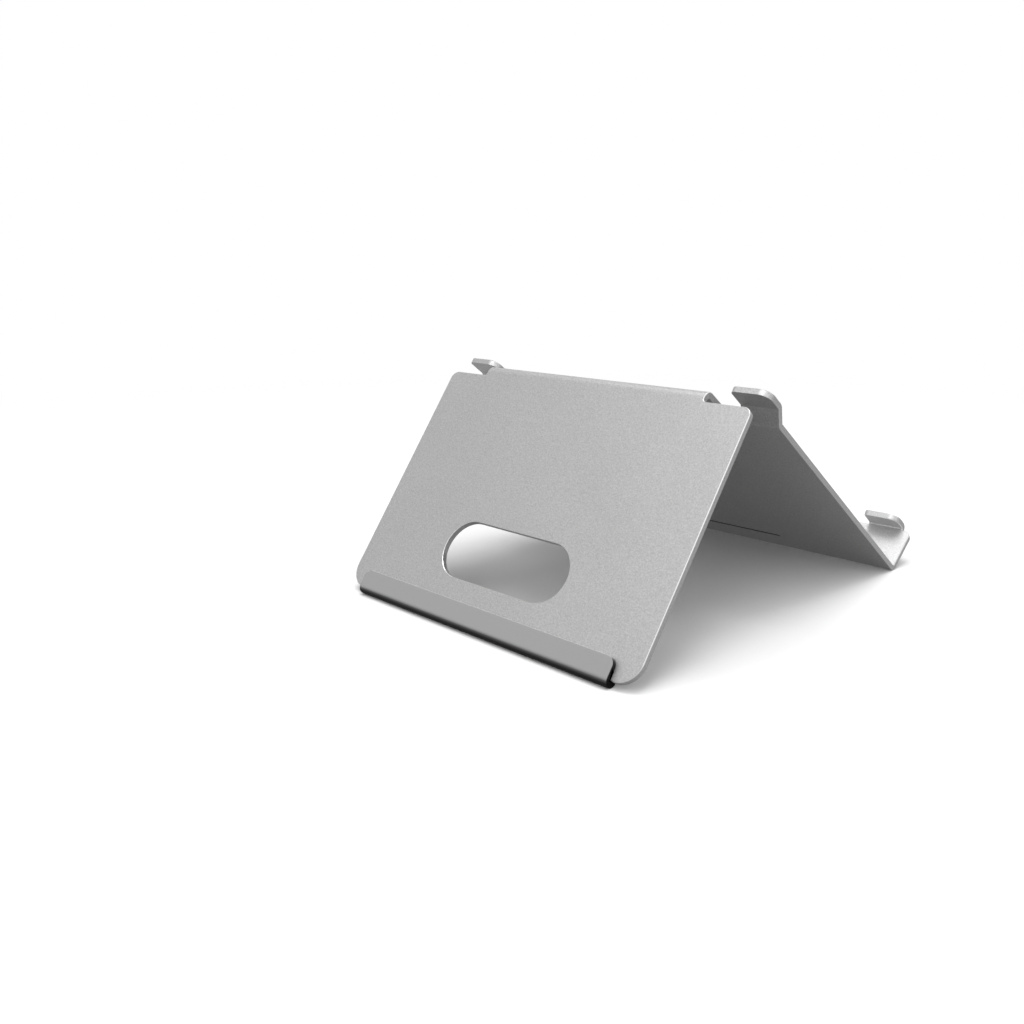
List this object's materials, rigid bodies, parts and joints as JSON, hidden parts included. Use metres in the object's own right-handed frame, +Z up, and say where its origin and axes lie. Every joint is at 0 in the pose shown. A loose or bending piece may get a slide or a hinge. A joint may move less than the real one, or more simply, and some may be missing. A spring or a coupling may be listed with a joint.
{
  "type": "tablet stand",
  "caption": "Desk stand folded from one aluminium sheet: sloping device plate with top hooks and a front ledge with catches, and a rear leg with a cable slot on a rubber foot.",
  "frame": {"origin": "centre of the footprint on the desk: midway between the sides and midway between the front of the ledge and the back of the foot", "axes": "+X across the stand, +Y from the device side to the rear leg, so the device faces -Y, +Z up from the desk"},
  "size_m": [0.154, 0.209, 0.0932],
  "materials": {
    "sheet_aluminium": "fine sandblasted, clear anodised",
    "foot_rubber": "smooth moulded, slight sheen",
    "adhesive_film": "matt film"
  },
  "bodies": {
    "root": {"folded_bracket": "sheet_aluminium", "rubber_foot": "foot_rubber", "foot_adhesive": "adhesive_film"}
  },
  "joints": []
}
